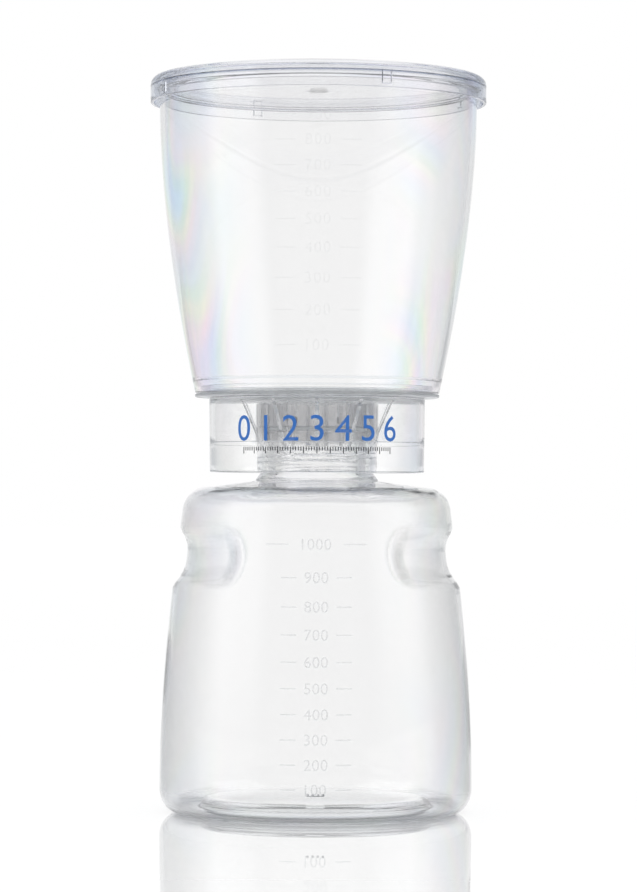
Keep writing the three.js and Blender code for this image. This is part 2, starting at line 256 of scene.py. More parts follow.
def mixed(tree, share, first, second, blend="MIX"):
    mix = addNode(tree, "ShaderNodeMix", {"data_type": "RGBA", "blend_type": blend})
    tree.links.new(share, mix.inputs["Factor"])
    for socket, colour in ((mix.inputs[6], first), (mix.inputs[7], second)):
        if isinstance(colour, str):
            socket.default_value = linear(colour)
        else:
            tree.links.new(colour, socket)
    return mix.outputs[2]


def rampOf(tree, share, stops, interpolation="LINEAR"):
    ramp = addNode(tree, "ShaderNodeValToRGB", links={"Fac": share})
    ramp.color_ramp.interpolation = interpolation
    while len(ramp.color_ramp.elements) < len(stops):
        ramp.color_ramp.elements.new(0.5)
    for stop, (place, hexColour) in zip(ramp.color_ramp.elements, stops):
        stop.position = place
        stop.color = linear(hexColour)
    return ramp.outputs["Color"]


passedHex = "#f7f8f9"  # light that goes straight through a wall, as shadow and diffuse rays do


# Crystal-clear moulded polystyrene, IOR 1.59 and nearly mirror-smooth: faces are almost invisible.
# Walls seen edge on take painted shade from a ramp by how far the face turns from the view, so the
# outlines read grey; some ramps also paint a faint highlight partway out, and level faces take a painted
# shade of their own instead. Thick places darken by absorption. Each of the last three has its zone first:
# frost and its roughness, the painted-shade zone and its colour, the heel with the shade painted on it and
# the tint of its shadow.
def clearPolystyrene(name, paintedShading, rough, tone, density, level="#fdfdfe", stress=0.0, frost=None,
                     paintedShade=None, heel=None):
    material, tree = newMaterial(name)
    facing = addNode(tree, "ShaderNodeLayerWeight", values={"Blend": 0.5})
    coords = addNode(tree, "ShaderNodeTexCoord")
    tilt = addNode(tree, "ShaderNodeSeparateXYZ", links={"Vector": coords.outputs["Normal"]})
    flat = addNode(tree, "ShaderNodeMath", {"operation": "ABSOLUTE"}, links={0: tilt.outputs["Z"]})
    levelness = addNode(tree, "ShaderNodeMapRange", smoothly,
                        links={"Value": flat.outputs["Value"]}, values={"From Min": 0.5, "From Max": 0.9})
    # The base colour is painted light: shade and highlight from the facing ramp, and a painted shade on level
    # faces
    colour = mixed(tree, levelness.outputs["Result"], rampOf(tree, facing.outputs["Facing"], paintedShading), level)
    # The zones multiply painted shade into the colour
    for zoned in (paintedShade, heel):
        if zoned is not None:
            colour = mixed(tree, zoneShare(tree, coords, zoned[0]), colour, zoned[1], "MULTIPLY")
    if stress > 0:
        colour = stressTint(tree, coords, facing, colour, stress)
    shader = addNode(tree, "ShaderNodeBsdfPrincipled", links={"Base Color": colour},
                     values={"Roughness": rough, "IOR": 1.59, "Transmission Weight": 1.0})
    if frost is not None:
        zone = addNode(tree, "ShaderNodeMapRange", links={"Value": zoneShare(tree, coords, frost[0])},
                       values={"To Min": rough, "To Max": frost[1]})
        tree.links.new(zone.outputs["Result"], shader.inputs["Roughness"])
    clear = addNode(tree, "ShaderNodeBsdfTransparent", values={"Color": linear(passedHex)})
    if heel is not None:
        shade = mixed(tree, zoneShare(tree, coords, heel[0]), passedHex, heel[2])
        tree.links.new(shade, clear.inputs["Color"])
    rays = addNode(tree, "ShaderNodeLightPath")
    straight = addNode(tree, "ShaderNodeMath", {"operation": "MAXIMUM"}, links={
        0: rays.outputs["Is Shadow Ray"], 1: rays.outputs["Is Diffuse Ray"]})
    mix = addNode(tree, "ShaderNodeMixShader", links={
        0: straight.outputs["Value"], 1: shader.outputs["BSDF"], 2: clear.outputs["BSDF"]})
    inside = addNode(tree, "ShaderNodeVolumeAbsorption", values={
        "Color": linear(tone), "Density": density})
    addNode(tree, "ShaderNodeOutputMaterial", links={
        "Surface": mix.outputs["Shader"], "Volume": inside.outputs["Volume"]})
    return material


# Stress colours frozen into a fast-filled moulding: pale pastel bands that run aslant across the
# wall. They show where the wall turns away, because the light crosses more of it there.
def stressTint(tree, coords, facing, colour, amount):
    stretch = addNode(tree, "ShaderNodeMapping", links={"Vector": coords.outputs["Object"]},
                      values={"Rotation": (0.5, 0.5, 0.0), "Scale": (1.0, 1.0, 0.6)})
    flow = addNode(tree, "ShaderNodeTexNoise", links={"Vector": stretch.outputs["Vector"]},
                   values={"Scale": 20.0, "Detail": 0.0, "Roughness": 0.4, "Distortion": 0.2})
    bands = addNode(tree, "ShaderNodeMath", multiply,
                    links={0: flow.outputs["Fac"]}, values={1: 4.5})
    turn = addNode(tree, "ShaderNodeMath", {"operation": "FRACT"}, links={0: bands.outputs["Value"]})
    pastels = ["#e8e2ff", "#cde2ff", "#d6f3fe", "#daf8e0", "#fafae0", "#fee6f2", "#e8e2ff"]
    hues = rampOf(tree, turn.outputs["Value"], [(i / 6, pastel) for i, pastel in enumerate(pastels)], "EASE")
    patches = addNode(tree, "ShaderNodeTexNoise", links={"Vector": coords.outputs["Object"]},
                      values={"Scale": 18.0, "Detail": 0.0})
    patchShare = addNode(tree, "ShaderNodeMapRange", links={"Value": patches.outputs["Fac"]},
                         values={"From Min": 0.42, "From Max": 0.62})
    edgeShare = addNode(tree, "ShaderNodeMapRange", links={"Value": facing.outputs["Facing"]},
                        values={"From Min": 0.12, "From Max": 0.42, "To Max": amount})
    share = addNode(tree, "ShaderNodeMath", multiply,
                    links={0: patchShare.outputs["Result"], 1: edgeShare.outputs["Result"]})
    return mixed(tree, share.outputs["Value"], colour, hues)


# A plain opaque finish with a fine grain: a bump of the given pitch and a little colour variation
def grainedFinish(name, hexColour, darkHex, rough, grainMm, bump, sheen=0.0):
    material, tree = newMaterial(name)
    coords = addNode(tree, "ShaderNodeTexCoord")
    grain = addNode(tree, "ShaderNodeTexNoise", links={"Vector": coords.outputs["Object"]},
                    values={"Scale": 1 / (grainMm * mm), "Detail": 3.0})
    colour = rampOf(tree, grain.outputs["Fac"], [(0.3, darkHex), (0.7, hexColour)])
    relief = addNode(tree, "ShaderNodeBump", links={"Height": grain.outputs["Fac"]},
                     values={"Strength": bump, "Distance": grainMm * mm})
    shader = addNode(tree, "ShaderNodeBsdfPrincipled", values={"Roughness": rough, "Sheen Weight": sheen},
                     links={"Base Color": colour, "Normal": relief.outputs["Normal"]})
    addNode(tree, "ShaderNodeOutputMaterial", links={"Surface": shader.outputs["BSDF"]})
    return material


# Moulded-in marks: the wall stands out by a hair there, and its frosted face scatters a little light
def frostedMark(name, hexColour, cover):
    material, tree = newMaterial(name)
    coords = addNode(tree, "ShaderNodeTexCoord")
    patch = addNode(tree, "ShaderNodeTexNoise", links={"Vector": coords.outputs["Object"]},
                    values={"Scale": 900.0, "Detail": 1.0})
    share = addNode(tree, "ShaderNodeMapRange", links={"Value": patch.outputs["Fac"]},
                    values={"From Min": 0.3, "From Max": 0.7, "To Min": cover * 0.6, "To Max": cover})
    shader = addNode(tree, "ShaderNodeBsdfPrincipled", links={"Alpha": share.outputs["Result"]},
                     values={"Base Color": linear(hexColour), "Roughness": 0.4})
    addNode(tree, "ShaderNodeOutputMaterial", links={"Surface": shader.outputs["BSDF"]})
    return material


# Painted light for clear ware, by how far a face turns from the view: shade towards the edges, blue-grey on
# the lid; the bottle's and cup's ramps also paint a faint highlight partway out
wallPaintedShading = [(0.0, "#f8f8f8"), (0.1, "#fafafa"), (0.22, "#fcfcfc"), (0.4, "#f2f2f2"), (0.54, "#e8e8e8"),
             (0.7, "#e1e1e1"), (0.85, "#d8d8d9"), (1.0, "#c2c3c6")]
cupPaintedShading = [(0.0, "#f8f8f8"), (0.1, "#fafafa"), (0.24, "#fcfcfc"), (0.4, "#f7f7f7"), (0.54, "#f3f3f3"),
            (0.7, "#ededee"), (0.85, "#dddddf"), (1.0, "#bcbdc1")]
partPaintedShade = [(0.0, "#fdfdfd"), (0.4, "#fafafa"), (0.7, "#ececed"), (1.0, "#c4c6ca")]
lidPaintedShade = [(0.0, "#fcfcfd"), (0.4, "#f5f6f9"), (0.7, "#d2d8e2"), (1.0, "#8793ab")]
collarPaintedShade = [(0.0, "#fefefe"), (0.4, "#f9f9f9"), (0.7, "#eeeeef"), (1.0, "#dadbde")]
bottlePlastic = clearPolystyrene(
    "clearPolystyreneBlown", wallPaintedShading, 0.015, "#bcbdc0", 1.5, stress=0.2,
    # painted shade on a band of the shoulder's top, below the bead
    paintedShade=([(upward, 121.0, 122.6), (upward, 127.4, 126.6), (outward, 24.0, 27.0)], "#dcdcde"),
    # painted shade on the heel's lowest millimetres; shadow rays through the heel also pass less light
    heel=([(upward, 4.2, 0.6), (outward, 45.5, 48.5)], "#d6d6d7", "#aeb0b3"))
cupPlastic = clearPolystyrene("clearPolystyreneCup", cupPaintedShading, 0.01, "#b6bcc8", 1.5, stress=0.85)
lidPlastic = clearPolystyrene(
    # painted blue-grey shade at the lid's edges, and a grey painted shade on its level faces
    "clearPolystyreneLid", lidPaintedShade, 0.01, "#9fb0dc", 5.0, level="#e7e7ea",
    # a painted dark line along the lid's seam
    paintedShade=([(upward, 277.7, 277.85), (upward, 278.5, 278.35), (outward, 63.9, 64.3)], "#7c869c"))
mouldedPlastic = clearPolystyrene("clearPolystyreneMoulded", partPaintedShade, 0.01, "#b6bcc8", 2.0)
collarPlastic = clearPolystyrene(
    "clearPolystyreneFrostedDrain", collarPaintedShade, 0.01, "#b6bcc8", 1.0, stress=0.2,
    frost=([(upward, 158.6, 158.8)], 0.35),
    # painted shade on the ring between the neck's seat and the drain plate
    paintedShade=([(outward, 24.0, 23.3), (outward, 17.0, 18.0), (upward, 140.0, 147.5), (upward, 157.5, 156.0)],
          "#aeaeb0"))
membraneFilm = grainedFinish("membraneFilmMatt", "#fbfbfb", "#f3f4f4", 0.85, 0.6, 0.15)
plugFibre = grainedFinish("bondedFibre", "#f4f3ee", "#dcdad2", 1.0, 0.35, 0.8, sheen=0.3)
gasketSilicone = grainedFinish("siliconeSatin", "#fafaf8", "#f0f0ed", 0.45, 0.5, 0.08)
blueInk = grainedFinish("screenPrintBlue", "#1c64b4", "#1a5ca6", 0.35, 0.25, 0.1)
darkInk = grainedFinish("screenPrintDark", "#23262b", "#2e3238", 0.35, 0.25, 0.1)
markFrost = frostedMark("mouldedMarkFrost", "#9aa0a6", 0.13)
cupMarkFrost = frostedMark("mouldedMarkFaint", "#a4aab0", 0.03)
dotFrost = frostedMark("mouldDotFrost", "#70757b", 0.4)
gateFrost = frostedMark("brokenGateFrost", "#34383d", 0.8)
print("materials ready")


def boxMm(node):
    low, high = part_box(node)
    return np.array(low) / mm, np.array(high) / mm


bottleHigh = boxMm("receiver_bottle")[1]
collarLow, collarHigh = boxMm("collar")
cupLow, cupHigh = boxMm("feed_cup")
lidLow, lidHigh = boxMm("lid")
gasketLow, gasketHigh = boxMm("neck_gasket")
membraneLow, membraneHigh = boxMm("membrane")
ringLow, ringHigh = boxMm("membrane_ring")
plugLow, plugHigh = boxMm("port_plug")

# Screw thread shared by neck and collar, right hand
thread = {
    "pitch": 4.2, "turns": 1.5, "depth": 1.45, "rootWidth": 2.2, "crestWidth": 1.4,
    "fade": math.radians(36), "aboveBead": 4.6,
}


# Height of a thread above its wall at angle a and height z: a trapezoid about the helix
# middle = start + pitch a / 2 pi, for each of the turns, fading in and out at its ends
def threadHeight(a, z, start):
    height = np.zeros_like(z)
    length = thread["turns"] * 2 * np.pi
    for turn in range(math.ceil(thread["turns"])):
        along = a % (2 * np.pi) + turn * 2 * np.pi
        away = np.abs(z - start - thread["pitch"] * along / (2 * np.pi))
        flank = (thread["rootWidth"] - thread["crestWidth"]) / 2
        face = np.clip((thread["rootWidth"] / 2 - away) / flank, 0, 1)
        ends = np.clip(np.minimum(along, length - along) / thread["fade"], 0, 1)
        height = np.maximum(height, thread["depth"] * eased(face) * eased(ends))
    return height


bottle = {
    "radius": bottleHigh[0], "neckTop": bottleHigh[2], "wall": 1.4,
    "footOuter": 52.4, "footInner": 45.0, "cornerHeight": 9.0, "puntHeight": 4.4, "puntSlope": 2.4,
    "taperStart": 12.0, "taperHeight": 103.0, "taperDepth": 8.35, "taperPower": 1.75,
    "shoulderRise": 11.9, "shoulderRun": 9.4, "shoulderCrown": 2.4,
    "gripDrop": 29.2, "gripHalfHeight": 12.0, "gripDepth": 4.0, "gripHalfLength": 55.6,
    "neckRadius": 18.85, "neckWall": 2.35, "neckHeight": 19.1,
    "beadRadius": 23.5, "beadHeight": 3.0, "beadCone": 2.5, "beadConeRun": 1.8,
    "waveDepths": (0.03, 0.02), "waveRise": 20.0, "waveFall": 14.0, "rippleDepth": 0.45, "rippleFrom": 5.0,
    "neckRows": 42, "around": 336,
}
bottle["shoulderTop"] = bottle["neckTop"] - bottle["neckHeight"]
bottle["shoulderStart"] = bottle["shoulderTop"] - bottle["shoulderRise"]
bottle["gripRise"] = bottle["shoulderTop"] - bottle["gripDrop"]
bottle["beadTop"] = bottle["shoulderTop"] + bottle["beadHeight"]


# Side radius at height z: full radius less taperDepth times ((z - start) / height) ^ power
def bottleSide(z):
    rise = np.clip((z - bottle["taperStart"]) / bottle["taperHeight"], 0, None)
    return bottle["radius"] - bottle["taperDepth"] * rise ** bottle["taperPower"]


# Depth of the finger grips: depth (1 - q^3)^2, q being the distance to the grip's centre line
def gripDent(a, z):
    fromSide = np.arccos(np.clip(np.abs(np.cos(a)), 0, 1))
    endCentre = bottle["gripHalfLength"] - bottle["gripHalfHeight"]
    along = np.clip(fromSide * bottleSide(np.array(bottle["gripRise"])) - endCentre, 0, None)
    reach = np.clip(np.hypot(along, z - bottle["gripRise"]) / bottle["gripHalfHeight"], 0, 1)
    return bottle["gripDepth"] * (1 - reach ** 3) ** 2


def bottlePath():
    b = bottle
    shoulderRadius = bottleSide(b["shoulderStart"]) - b["shoulderRun"]
    cornerRun = b["radius"] - b["footOuter"]
    sideZ = np.linspace(b["cornerHeight"], b["shoulderStart"], 52)[1:-1]
    crown = b["shoulderRise"] - b["shoulderCrown"]
    innerFoot = b["puntHeight"] + b["wall"]
    outside = [
        (0, b["puntHeight"], 0), (b["footInner"] - b["puntSlope"], b["puntHeight"], 4.0),
        (b["footInner"], 0, 0.9), *plain(ellipseArc(b["footOuter"], b["cornerHeight"], cornerRun,
                                                    b["cornerHeight"], -90, 0, 15)),
        *plain(np.column_stack([bottleSide(sideZ), sideZ])),
        *plain(ellipseArc(shoulderRadius, b["shoulderStart"], b["shoulderRun"], crown, 0, 90, 13)),
        (b["beadRadius"], b["shoulderTop"], 0.3), (b["beadRadius"], b["beadTop"] - b["beadCone"], 0.8),
        (b["beadRadius"] - b["beadConeRun"], b["beadTop"], 0.6), (b["neckRadius"], b["beadTop"], 0.4),
        (b["neckRadius"], b["neckTop"], 0.5),
    ]
    wall = b["wall"]
    inside = [
        (b["neckRadius"] - b["neckWall"], b["neckTop"], 0.5),
        (b["neckRadius"] - b["neckWall"], b["shoulderTop"] - wall, 1.6),
        *plain(ellipseArc(shoulderRadius, b["shoulderStart"], b["shoulderRun"] - wall, crown - wall,
                          90, 0, 11)),
        *plain(np.column_stack([bottleSide(sideZ[::-1]) - wall, sideZ[::-1]])),
        *plain(ellipseArc(b["footOuter"], b["cornerHeight"], cornerRun - wall,
                          b["cornerHeight"] - wall, 0, -90, 12)),
        (b["footInner"], wall, 0.9), (b["footInner"] - b["puntSlope"], innerFoot, 4.0), (0, innerFoot, 0),
    ]
    path = refined(filletPath(outside + inside, 4), 3.4)
    return finerWall(path, b["neckRadius"], b["neckRows"])


# Added to the radius: less the grips; inside, the uneven wall of a blown bottle, as two slow waves of
# up to a twentieth of a millimetre in all; on the shoulder's top a ripple, which breaks up its line;
# and on the neck the thread
def bottleShift(a, z, r):
    b = bottle
    shift = np.where(r > b["footInner"], -gripDent(a, z), 0.0)
    inner = (r < bottleSide(z) - b["wall"] / 2) & (r > b["footInner"]) & (z > b["cornerHeight"])
    wave = b["waveDepths"][0] * np.sin(3 * a + 0.8 + z / 23) + b["waveDepths"][1] * np.sin(7 * a - z / 13)
    rise = np.clip((z - b["cornerHeight"]) / b["waveRise"], 0, 1)
    fall = np.clip((b["shoulderTop"] - z) / b["waveFall"], 0, 1)
    shift = shift + np.where(inner, wave * (rise * fall), 0.0)
    aboveStart = np.clip((z - b["shoulderStart"] - b["rippleFrom"]) / 4, 0, 1)
    onShoulder = aboveStart * np.clip((r - b["beadRadius"] - 2) / 5, 0, 1)
    ripple = np.sin(11 * a + r / 2.1) * np.sin(5 * a - r / 3.4 + 1.2)
    shift = shift + b["rippleDepth"] * ripple * onShoulder
    onNeck = (np.abs(r - b["neckRadius"]) < 0.01) & (z > b["beadTop"] + 0.5)
    return shift + np.where(onNeck, threadHeight(a, z, b["beadTop"] + thread["aboveBead"]), 0.0)


bottleMesh = turnedMesh("receiverBottle", bottlePath(), bottle["around"], bottleShift)
pieceFrom("receiverBottle", bottleMesh, bottlePlastic, "receiver", ["receiver_bottle"])
print("bottle made", len(bottleMesh.polygons))


# A flat shape (x across, y up, z out of the face) wrapped on a wall: a = -90 deg + x / r(y),
# radius r(y) + z. The heights stay as they are.
def wrapped(mesh, wallRadius, lift=0.0):
    x, y, z = pointsOf(mesh).T
    r = wallRadius(y) + lift + z
    a = -np.pi / 2 + x / wallRadius(y)
    return movedTo(mesh, np.stack([r * np.cos(a), r * np.sin(a), y], axis=-1) * mm)


# A bar with rounded ends, as a closed plate: two half circles of the bar's width, half its length
# less half its width to either side of the middle
def barMesh(centreX, centreY, length, width, depth):
    turn = np.linspace(0, 2 * np.pi, 24, endpoint=False)
    bend = np.where(np.cos(turn) >= 0, 1, -1) * (length - width) / 2
    x, y = centreX + bend + width / 2 * np.cos(turn), centreY + width / 2 * np.sin(turn)
    return plateBetween("bar", *[np.column_stack([x, y, np.full_like(x, level)]) for level in (0.0, depth)])


# Plain figures as a closed plate, centred at centreX with their middle at centreY
def figureMesh(text, centreX, centreY, height, depth, spacing=1.0):
    curve = bpy.data.curves.new("figures", "FONT")
    curve.body = text
    curve.size = height / 0.69  # a figure of Blender's own font is 0.69 of its size tall
    curve.space_character = spacing
    curve.extrude = depth / 2
    curve.resolution_u = 4
    holder = bpy.data.objects.new("figures", curve)
    bpy.context.scene.collection.objects.link(holder)
    mesh = evaluatedMesh(holder)
    bpy.data.objects.remove(holder)
    points = pointsOf(mesh)
    middle = (points.min(axis=0) + points.max(axis=0)) / 2
    return cleaned(movedTo(mesh, points + (np.array([centreX, centreY, depth / 2]) - middle)), 1e-4)


# Heights of the graduations: slices of inner area times their thickness are added up, and a mark
# stands wherever they have filled another step
def gradHeights(firstHeight, area, step, count):
    found, z = [], firstHeight
    layer = 0.1  # thickness of a slice
    while len(found) < count:
        part = 0.0
        while part < step:
            part += area(z) * layer
            z += layer
        found.append(z)
    return found


grads = {
    "stepVolume": 100000.0, "count": 10, "floor": 4.0, "wallSlack": 0.6,
    "tickLength": 5.9, "topTickLength": 8.9, "tickWidth": 0.45, "tickFrom": 7.4, "topTickFrom": 10.3,
    "figureHeight": 4.1, "relief": 0.18, "gripSpan": 200,
}


# Area inside the wall at height z: a circle, less what the two grips take from it
def bottleArea(z):
    grip = gripDent(np.array(0.0), np.array(z))
    circle = math.pi * float(bottleSide(np.array(z)) - grads["wallSlack"]) ** 2
    return circle - grads["gripSpan"] * float(grip)


# One graduation: a figure with a tick to either side of it
def markRow(text, z, tickFrom, tickLength, spacing):
    g = grads
    ticks = [barMesh(side * (tickFrom + tickLength / 2), z, tickLength, g["tickWidth"], g["relief"])
             for side in (-1, 1)]
    return [*ticks, figureMesh(text, 0, z, g["figureHeight"], g["relief"], spacing)]


def bottleMarks():
    g = grads
    parts = []
    for i, z in enumerate(gradHeights(g["floor"], bottleArea, g["stepVolume"], g["count"])):
        tick = "topTick" if i == g["count"] - 1 else "tick"
        parts += markRow(str((i + 1) * 100), z, g[tick + "From"], g[tick + "Length"], 1.05)
    return wrapped(joined("bottleGraduations", parts), bottleSide)


pieceFrom("bottleGraduations", bottleMarks(), markFrost, "receiver", smoothDeg=20)

mouldDots = {"count": 4, "height": 11.2, "pitch": 1.9, "size": 1.0, "relief": 0.15}


# A row of four raised dots above the heel, which tells one mould from another
def mouldDotMarks():
    m = mouldDots
    start = -m["pitch"] * (m["count"] - 1) / 2
    parts = [barMesh(start + i * m["pitch"], m["height"], m["size"], m["size"], m["relief"])
             for i in range(m["count"])]
    return wrapped(joined("mouldDots", parts), bottleSide)


pieceFrom("mouldDots", mouldDotMarks(), dotFrost, "receiver", smoothDeg=20)
print("bottle marks made")


cup = {
    "foot": cupLow[2], "top": cupHigh[2], "rimRadius": 61.0, "footRadius": 46.9, "straightRim": 10.0,
    "power": 1.7, "wall": 1.8, "beadRadius": cupHigh[0], "beadHeight": 3.4, "beadSlope": 1.1,
    "socket": 5.0, "socketStep": 0.2, "around": 420,
}


# Side radius at height z: rim radius less (rim - foot) times (fall below the straight rim) ^ power
def cupSide(z):
    flareTop = cup["top"] - cup["straightRim"]
    fall = np.clip((flareTop - z) / (flareTop - cup["foot"]), 0, 1)
    return cup["rimRadius"] - (cup["rimRadius"] - cup["footRadius"]) * fall ** cup["power"]


def cupPath():
    c = cup
    levels = np.linspace(c["foot"] + 1.5, c["top"] - c["straightRim"], 70)
    neck = c["top"] - c["beadHeight"]
    outside = [
        (c["footRadius"], c["foot"], 0.4), *plain(np.column_stack([cupSide(levels), levels])),
        (c["rimRadius"], neck - c["beadSlope"], 0.8), (c["beadRadius"], neck, 0.8),
        (c["beadRadius"], c["top"], 0.7),
    ]
    inner = np.sort(np.append(levels, [c["foot"] + c["socket"], c["foot"] + c["socket"] - 0.3]))[::-1]
    thick = c["wall"] + np.where(inner < c["foot"] + c["socket"] - 0.1, c["socketStep"], 0.0)
    inside = [
        (c["rimRadius"] - c["wall"], c["top"], 0.7), *plain(np.column_stack([cupSide(inner) - thick, inner])),
        (c["footRadius"] - c["wall"], c["foot"], 0.3),
    ]
    return refined(filletPath(outside + inside), 2.0)


cupMesh = turnedMesh("feedCup", cupPath(), cup["around"])
pieceFrom("feedCup", cupMesh, cupPlastic, "filter_top", ["feed_cup"])

cupGrads = {"count": 9, "floor": membraneHigh[2] + 1.0, "tickLength": 8.0, "tickFrom": 8.3}


def cupArea(z):  # inside the wall at height z
    return math.pi * float(cupSide(np.array(z)) - cup["wall"]) ** 2


def cupMarks():
    parts = []
    levels = gradHeights(cupGrads["floor"], cupArea, grads["stepVolume"], cupGrads["count"])
    for i, z in enumerate(levels):
        parts += markRow(str((i + 1) * 100), z, cupGrads["tickFrom"], cupGrads["tickLength"], 1.15)
    return wrapped(joined("cupGraduations", parts), cupSide)


pieceFrom("cupGraduations", cupMarks(), cupMarkFrost, "filter_top", smoothDeg=20)
print("cup made", len(cupMesh.polygons))


lid = {
    "radius": lidHigh[0], "top": lidHigh[2], "bottom": lidLow[2], "wall": 1.3, "topWall": 1.7,
    "plugRadius": 58.9, "skirtBore": 63.3, "edgeRun": 3.1, "edgeRise": 3.2, "recess": 4.0,
    "recessDraft": 2.0, "disc": 1.5, "gateRadius": 3.5, "gateHeight": 0.4,
    "ribCount": 4, "ribWidth": 3.7, "ribHeight": 4.8, "ribDrop": 3.7, "ribDepth": 0.75, "ribStart": 23.4,
    "seamDrop": 3.9, "seamHalf": 0.35, "seamDepth": 0.22, "wallRows": 30, "around": 520, "crowding": 0.6,
}


def lidPath():
    d = lid
    discTop = d["top"] - d["recess"]
    plugInner = d["plugRadius"] - d["wall"]
    ceiling = d["top"] - d["topWall"]
    corners = [
        (0, discTop - d["disc"], 0), (plugInner, discTop - d["disc"], 0.3),
        (d["plugRadius"], discTop - d["disc"] + d["wall"], 0.6), (d["plugRadius"], ceiling, 0.4),
        (d["skirtBore"], ceiling, 0.4), (d["skirtBore"], d["bottom"], 0.3), (d["radius"], d["bottom"], 0.4),
        *[(d["radius"] - inwards * d["seamDepth"], d["top"] - d["seamDrop"] + side * d["seamHalf"], 0)
          for side, inwards in ((-1, 0), (-0.3, 1), (0.3, 1), (1, 0))],
        *plain(ellipseArc(d["radius"] - d["edgeRun"], d["top"] - d["edgeRise"], d["edgeRun"],
                          d["edgeRise"], 0, 90, 14)),
        (plugInner, d["top"], 0.8), (plugInner - d["recessDraft"], discTop, 1.6),
        (d["gateRadius"], discTop, 0.15), (d["gateRadius"], discTop + d["gateHeight"], 0.15),
        (0, discTop + d["gateHeight"], 0),
    ]
    return finerWall(refined(filletPath(corners), 2.6), d["skirtBore"], d["wallRows"], near=0.02)


# Four short ribs inside the skirt: a flat-topped bump across and up, standing inwards. The columns
# crowd round them, so that their sides come out straight.
def lidShift(a, z, r):
    d = lid
    middle = d["top"] - d["ribDrop"] - d["ribHeight"] / 2
    turn = (np.degrees(a) - d["ribStart"] + 180 / d["ribCount"]) % (360 / d["ribCount"]) - 180 / d["ribCount"]
    across = np.abs(np.radians(turn)) * d["skirtBore"] / (d["ribWidth"] / 2)
    up = np.abs(z - middle) / (d["ribHeight"] / 2)
    face = np.clip((1.12 - np.maximum(across, up)) / 0.24, 0, 1)
    return np.where(np.abs(r - d["skirtBore"]) < 0.02, -d["ribDepth"] * eased(face), 0.0)


crowd = (lid["ribCount"], lid["ribStart"], lid["crowding"])
lidMesh = turnedMesh("lid", lidPath(), lid["around"], lidShift, crowd)
pieceFrom("lidShell", lidMesh, lidPlastic, "filter_top", ["lid"])

gateScar = {"radius": 3.5, "height": 1.6, "dome": 0.5, "sink": 0.2, "draft": 0.3}


# Where the runner broke off: a frosted button on the middle of the disc, a little domed
def gateScarPath():
    g = gateScar
    foot = lid["top"] - lid["recess"] + lid["gateHeight"] - g["sink"]
    return filletPath([(0, foot, 0), (g["radius"], foot, 0.2),
                       (g["radius"] - g["draft"], foot + g["height"] - g["dome"], 0.5),
                       (0, foot + g["height"], 0)])


scarMesh = turnedMesh("gateScar", gateScarPath(), 48)
pieceFrom("gateScar", scarMesh, gateFrost, "filter_top")
print("lid made", len(lidMesh.polygons))


collar = {
    "plate": 158.9, "bottom": collarLow[2], "footRadius": collarHigh[0], "landTop": collarHigh[2],
    "skirtTop": 41.5, "skirtBottom": 41.2, "skirtWall": 1.4, "upperExtra": 0.5, "stepDrop": 17.3,
    "ringBore": 20.7, "ringWall": 2.4, "seatInner": 15.5, "seat": 147.8, "flange": 1.3, "flangeRound": 1.0,
    "land": ringHigh[0], "landWidth": 2.6, "drain": 1.1, "drainFall": 0.5, "spoutBore": 3.0, "spoutWall": 1.4,
    "spoutTip": 140.0, "gussets": 12, "gussetThickness": 1.5, "gussetReach": 10.1, "gussetDrop": 21.0,
    "ribs": 24, "ribWidth": 1.0, "ribStart": 9.0, "portRise": 3.7, "portRadius": 4.8, "portBore": 2.2,
    "socketRadius": 2.9, "portEnd": 44.0, "socketDepth": 9.0, "rooted": 1.2, "threadRows": 80,
}


def collarPath():
    c = collar
    step = c["plate"] - c["stepDrop"]
    spout = c["spoutBore"] + c["spoutWall"]
    ring = c["ringBore"] + c["ringWall"]
    inSkirt = c["skirtTop"] - c["skirtWall"]
    corners = [
        (c["spoutBore"], c["spoutTip"], 0.3), (spout, c["spoutTip"], 0.4), (spout, c["plate"], 0.8),
        (c["seatInner"], c["plate"], 0.5), (c["seatInner"], c["seat"], 0.3), (c["ringBore"], c["seat"], 0.3),
        (c["ringBore"], c["bottom"], 0.4), (ring, c["bottom"], 0.4), (ring, c["plate"], 0.8),
        (inSkirt - c["upperExtra"], c["plate"], 0.8), (inSkirt - c["upperExtra"], step, 0.2),
        (inSkirt, step, 0.2), (c["skirtBottom"] - c["skirtWall"], c["bottom"], 0.3),
        (c["skirtBottom"], c["bottom"], 0.4), (c["skirtTop"], c["plate"], 0.4),
        (c["footRadius"], c["plate"], c["flangeRound"]), (c["footRadius"], c["plate"] + c["flange"], 0.3),
        (c["land"], c["plate"] + c["flange"], 0.2), (c["land"], c["landTop"], 0.2),
        (c["land"] - c["landWidth"], c["landTop"], 0.2),
        (c["land"] - c["landWidth"], c["landTop"] - c["drain"], 0.3),
        (c["spoutBore"], c["landTop"] - c["drain"] - c["drainFall"], 0.4),
    ]
    return finerWall(refined(filletPath(corners, 4), 2.5), c["ringBore"], c["threadRows"])


def collarShift(a, z, r):
    start = bottle["beadTop"] + thread["aboveBead"] - thread["pitch"] / 2
    return np.where(np.abs(r - collar["ringBore"]) < 0.01, -threadHeight(a, z, start), 0.0)


# A closed plate from an outline of (across, up) points, turned about +Z: its two faces stand half
# the depth to either side
def plateMesh(outline, depth, turnDeg):
    outline = np.array(outline)
    a = math.radians(turnDeg)
    across = np.array([math.cos(a), math.sin(a)])
    normal = np.array([-math.sin(a), math.cos(a)])
    faces = [np.column_stack([outline[:, :1] * across + side * normal, outline[:, 1]]) * mm
             for side in (-depth / 2, depth / 2)]
    return cleaned(plateBetween("plate", *faces))


